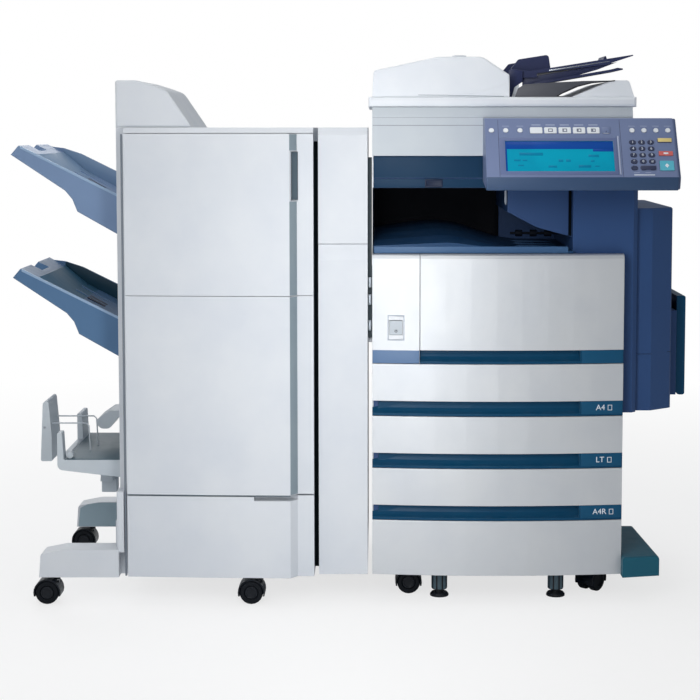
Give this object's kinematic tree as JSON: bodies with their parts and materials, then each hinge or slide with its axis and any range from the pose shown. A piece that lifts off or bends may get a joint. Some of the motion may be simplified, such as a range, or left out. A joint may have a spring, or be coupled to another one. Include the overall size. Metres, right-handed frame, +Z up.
{
  "type": "office photocopier",
  "caption": "Floor-standing office photocopier with document feeder, control panel, paper drawers, side bypass and a docked finisher with stack trays and booklet tray, on casters.",
  "frame": {"origin": "centre of the footprint, on the floor", "axes": "+X to the right seen from the front, +Y to the back, +Z up"},
  "size_m": [1.524, 0.7162, 1.2135],
  "materials": {
    "white_plastic": "fine moulded texture, pale silver white",
    "navy_plastic": "fine moulded texture, navy blue",
    "teal_plastic": "satin, deep teal blue",
    "blue_plastic": "satin, steel blue",
    "slate_plastic": "satin, slate lavender",
    "grey_plastic": "satin, cool grey",
    "black_plastic": "satin black",
    "key_white": "soft touch white",
    "key_start": "soft touch cyan",
    "key_stop": "soft touch red",
    "platen_glass": "clear",
    "screen": "lit screen",
    "drum_coating": "polished coating",
    "caster_rubber": "near black",
    "caster_black": "near black"
  },
  "bodies": {
    "root": {"base_panel": "white_plastic", "control_panel": "slate_plastic", "copier_chassis": "navy_plastic", "exit_tray": "blue_plastic", "finisher_frame": "white_plastic", "finisher_hood": "white_plastic", "finisher_legs": "white_plastic", "lcd_screen": "screen", "platen_glass": "platen_glass", "punch_unit": "white_plastic", "rear_cover": "white_plastic", "saddle_tray": "grey_plastic", "scanner_housing": "white_plastic", "stabiliser": "blue_plastic", "switch_panel": "white_plastic"},
    "drawer_1": {"drawer_1_cassette": "teal_plastic", "drawer_1_front": "white_plastic"},
    "drawer_2": {"drawer_2_cassette": "teal_plastic", "drawer_2_front": "white_plastic"},
    "drawer_3": {"drawer_3_cassette": "teal_plastic", "drawer_3_front": "white_plastic"},
    "front_cover": {"front_cover": "white_plastic", "front_cover_grip": "teal_plastic"},
    "platen_lid": {"adf_base": "white_plastic"},
    "feed_cover": {"adf_feed_cover": "white_plastic"},
    "input_tray": {"adf_input_tray": "navy_plastic"},
    "guide_front": {"document_guide_front": "navy_plastic"},
    "guide_rear": {"document_guide_rear": "navy_plastic"},
    "side_cover": {"side_cover": "navy_plastic"},
    "bypass_tray": {"bypass_tray": "teal_plastic"},
    "upper_door": {"finisher_upper_door": "white_plastic"},
    "lower_door": {"finisher_lower_door": "white_plastic"},
    "upper_tray": {"upper_tray": "blue_plastic"},
    "lower_tray": {"lower_tray": "blue_plastic"},
    "saddle_stopper": {"saddle_stopper": "grey_plastic"},
    "saddle_flapper": {"saddle_flapper": "grey_plastic"},
    "scan_carriage": {"scan_carriage": "black_plastic"},
    "power_switch": {"power_switch": "grey_plastic"},
    "start_key": {"start_key": "key_start"},
    "stop_key": {"stop_key": "key_stop"},
    "keypad": {"keypad": "black_plastic"},
    "function_keys": {"function_keys": "key_white"},
    "toner_bottle": {"toner_bottle": "black_plastic"},
    "photo_drum": {"photo_drum": "drum_coating"},
    "levelling_foot_left": {"levelling_foot_left": "black_plastic"},
    "levelling_foot_right": {"levelling_foot_right": "black_plastic"},
    "finisher_front_left_hood": {"finisher_front_left_caster_hood": "caster_black"},
    "finisher_front_left_wheels": {"finisher_front_left_caster_wheels": "caster_rubber"},
    "finisher_rear_left_hood": {"finisher_rear_left_caster_hood": "caster_black"},
    "finisher_rear_left_wheels": {"finisher_rear_left_caster_wheels": "caster_rubber"},
    "finisher_front_right_hood": {"finisher_front_right_caster_hood": "caster_black"},
    "finisher_front_right_wheels": {"finisher_front_right_caster_wheels": "caster_rubber"},
    "finisher_rear_right_hood": {"finisher_rear_right_caster_hood": "caster_black"},
    "finisher_rear_right_wheels": {"finisher_rear_right_caster_wheels": "caster_rubber"},
    "copier_front_left_hood": {"copier_front_left_caster_hood": "caster_black"},
    "copier_front_left_wheels": {"copier_front_left_caster_wheels": "caster_rubber"},
    "copier_front_right_hood": {"copier_front_right_caster_hood": "caster_black"},
    "copier_front_right_wheels": {"copier_front_right_caster_wheels": "caster_rubber"},
    "copier_rear_left_wheels": {"copier_rear_left_caster_wheels": "caster_rubber"},
    "copier_rear_right_wheels": {"copier_rear_right_caster_wheels": "caster_rubber"}
  },
  "joints": [
    {"name": "drawer_1_slide", "type": "slide", "parent": "root", "child": "drawer_1", "axis": [0, -1, 0], "range_m": [0, 0.4]},
    {"name": "drawer_2_slide", "type": "slide", "parent": "root", "child": "drawer_2", "axis": [0, -1, 0], "range_m": [0, 0.4]},
    {"name": "drawer_3_slide", "type": "slide", "parent": "root", "child": "drawer_3", "axis": [0, -1, 0], "range_m": [0, 0.4]},
    {"name": "front_cover_hinge", "type": "hinge", "parent": "root", "child": "front_cover", "pos_m": [0.15095, -0.24013, 0.5646], "axis": [0, 0, -1], "range_deg": [0, 105]},
    {"name": "platen_lid_hinge", "type": "hinge", "parent": "root", "child": "platen_lid", "pos_m": [0.32945, 0.35335, 1.0959], "axis": [-1, 0, 0], "range_deg": [0, 65]},
    {"name": "feed_cover_hinge", "type": "hinge", "parent": "platen_lid", "child": "feed_cover", "pos_m": [0.04595, 0.00335, 1.1177], "axis": [0, -1, 0], "range_deg": [0, 60]},
    {"name": "input_tray_hinge", "type": "hinge", "parent": "platen_lid", "child": "input_tray", "pos_m": [0.35695, -0.16165, 1.1694], "axis": [0, -1, 0], "range_deg": [0, 30]},
    {"name": "guide_front_slide", "type": "slide", "parent": "input_tray", "child": "guide_front", "axis": [0, 1, 0], "range_m": [0, 0.08]},
    {"name": "guide_rear_slide", "type": "slide", "parent": "input_tray", "child": "guide_rear", "axis": [0, -1, 0], "range_m": [0, 0.08]},
    {"name": "side_cover_hinge", "type": "hinge", "parent": "root", "child": "side_cover", "pos_m": [0.63275, 0.24535, 0.42], "axis": [0, 0, 1], "range_deg": [0, 60]},
    {"name": "bypass_tray_hinge", "type": "hinge", "parent": "side_cover", "child": "bypass_tray", "pos_m": [0.75705, -0.07665, 0.445], "axis": [0, 1, 0], "range_deg": [0, 72]},
    {"name": "upper_door_hinge", "type": "hinge", "parent": "root", "child": "upper_door", "pos_m": [-0.49305, -0.25165, 0.685], "axis": [0, 0, -1], "range_deg": [0, 105]},
    {"name": "lower_door_hinge", "type": "hinge", "parent": "root", "child": "lower_door", "pos_m": [-0.49305, -0.25165, 0.245], "axis": [0, 0, -1], "range_deg": [0, 105]},
    {"name": "upper_tray_lift", "type": "slide", "parent": "root", "child": "upper_tray", "axis": [0, 0, 1], "range_m": [-0.06, 0.06]},
    {"name": "lower_tray_lift", "type": "slide", "parent": "root", "child": "lower_tray", "axis": [0, 0, 1], "range_m": [-0.09, 0.05]},
    {"name": "saddle_stopper_slide", "type": "slide", "parent": "root", "child": "saddle_stopper", "axis": [-1, 0, 0], "range_m": [0, 0.03]},
    {"name": "saddle_flapper_hinge", "type": "hinge", "parent": "root", "child": "saddle_flapper", "pos_m": [-0.51955, -0.01165, 0.392], "axis": [0, 1, 0], "range_deg": [0, 30]},
    {"name": "scan_carriage_slide", "type": "slide", "parent": "root", "child": "scan_carriage", "axis": [1, 0, 0], "range_m": [0, 0.363]},
    {"name": "power_switch_rock", "type": "hinge", "parent": "root", "child": "power_switch", "pos_m": [0.09795, -0.22745, 0.6136], "axis": [-1, 0, 0], "range_deg": [0, 12]},
    {"name": "start_key_press", "type": "slide", "parent": "root", "child": "start_key", "axis": [0, 0.8387, -0.5446], "range_m": [0, 0.001], "stiffness_N_per_m": 400},
    {"name": "stop_key_press", "type": "slide", "parent": "root", "child": "stop_key", "axis": [0, 0.8387, -0.5446], "range_m": [0, 0.001], "stiffness_N_per_m": 400},
    {"name": "keypad_press", "type": "slide", "parent": "root", "child": "keypad", "axis": [0, 0.8387, -0.5446], "range_m": [0, 0.001], "stiffness_N_per_m": 400},
    {"name": "function_keys_press", "type": "slide", "parent": "root", "child": "function_keys", "axis": [0, 0.8387, -0.5446], "range_m": [0, 0.001], "stiffness_N_per_m": 400},
    {"name": "toner_bottle_turn", "type": "hinge", "parent": "root", "child": "toner_bottle", "pos_m": [0.44595, -0.19435, 0.7001], "axis": [0, 1, 0], "continuous": true},
    {"name": "photo_drum_turn", "type": "hinge", "parent": "root", "child": "photo_drum", "pos_m": [0.28095, -0.19435, 0.6601], "axis": [0, 1, 0], "continuous": true},
    {"name": "levelling_foot_left_turn", "type": "hinge", "parent": "root", "child": "levelling_foot_left", "pos_m": [0.19695, -0.17665, 0], "axis": [0, 0, 1], "continuous": true},
    {"name": "levelling_foot_right_turn", "type": "hinge", "parent": "root", "child": "levelling_foot_right", "pos_m": [0.45895, -0.17665, 0], "axis": [0, 0, 1], "continuous": true},
    {"name": "finisher_front_left_caster_swivel", "type": "hinge", "parent": "root", "child": "finisher_front_left_hood", "pos_m": [-0.65405, -0.22865, 0.063], "axis": [0, 0, 1], "continuous": true},
    {"name": "finisher_front_left_caster_roll", "type": "hinge", "parent": "finisher_front_left_hood", "child": "finisher_front_left_wheels", "pos_m": [-0.67305, -0.22865, 0.026], "axis": [0, -1, 0], "continuous": true},
    {"name": "finisher_rear_left_caster_swivel", "type": "hinge", "parent": "root", "child": "finisher_rear_left_hood", "pos_m": [-0.65405, 0.23135, 0.063], "axis": [0, 0, 1], "continuous": true},
    {"name": "finisher_rear_left_caster_roll", "type": "hinge", "parent": "finisher_rear_left_hood", "child": "finisher_rear_left_wheels", "pos_m": [-0.67305, 0.23135, 0.026], "axis": [0, -1, 0], "continuous": true},
    {"name": "finisher_front_right_caster_swivel", "type": "hinge", "parent": "root", "child": "finisher_front_right_hood", "pos_m": [-0.20245, -0.22865, 0.063], "axis": [0, 0, 1], "continuous": true},
    {"name": "finisher_front_right_caster_roll", "type": "hinge", "parent": "finisher_front_right_hood", "child": "finisher_front_right_wheels", "pos_m": [-0.22145, -0.22865, 0.026], "axis": [0, -1, 0], "continuous": true},
    {"name": "finisher_rear_right_caster_swivel", "type": "hinge", "parent": "root", "child": "finisher_rear_right_hood", "pos_m": [-0.20245, 0.23135, 0.063], "axis": [0, 0, 1], "continuous": true},
    {"name": "finisher_rear_right_caster_roll", "type": "hinge", "parent": "finisher_rear_right_hood", "child": "finisher_rear_right_wheels", "pos_m": [-0.22145, 0.23135, 0.026], "axis": [0, -1, 0], "continuous": true},
    {"name": "copier_front_left_caster_swivel", "type": "hinge", "parent": "root", "child": "copier_front_left_hood", "pos_m": [0.10895, -0.14665, 0.0642], "axis": [0, 0, 1], "continuous": true},
    {"name": "copier_front_left_caster_roll", "type": "hinge", "parent": "copier_front_left_hood", "child": "copier_front_left_wheels", "pos_m": [0.12795, -0.14665, 0.0264], "axis": [0, 1, 0], "continuous": true},
    {"name": "copier_front_right_caster_swivel", "type": "hinge", "parent": "root", "child": "copier_front_right_hood", "pos_m": [0.53195, -0.14665, 0.0642], "axis": [0, 0, 1], "continuous": true},
    {"name": "copier_front_right_caster_roll", "type": "hinge", "parent": "copier_front_right_hood", "child": "copier_front_right_wheels", "pos_m": [0.54416, -0.1321, 0.0264], "axis": [-0.766, 0.6428, 0], "continuous": true},
    {"name": "copier_rear_left_caster_roll", "type": "hinge", "parent": "root", "child": "copier_rear_left_wheels", "pos_m": [0.12795, 0.26835, 0.026], "axis": [0, 1, 0], "continuous": true},
    {"name": "copier_rear_right_caster_roll", "type": "hinge", "parent": "root", "child": "copier_rear_right_wheels", "pos_m": [0.53195, 0.26835, 0.026], "axis": [0, 1, 0], "continuous": true}
  ],
  "couplings": [
    {"joint": "guide_rear_slide", "follows": "guide_front_slide", "ratio": 1}
  ]
}
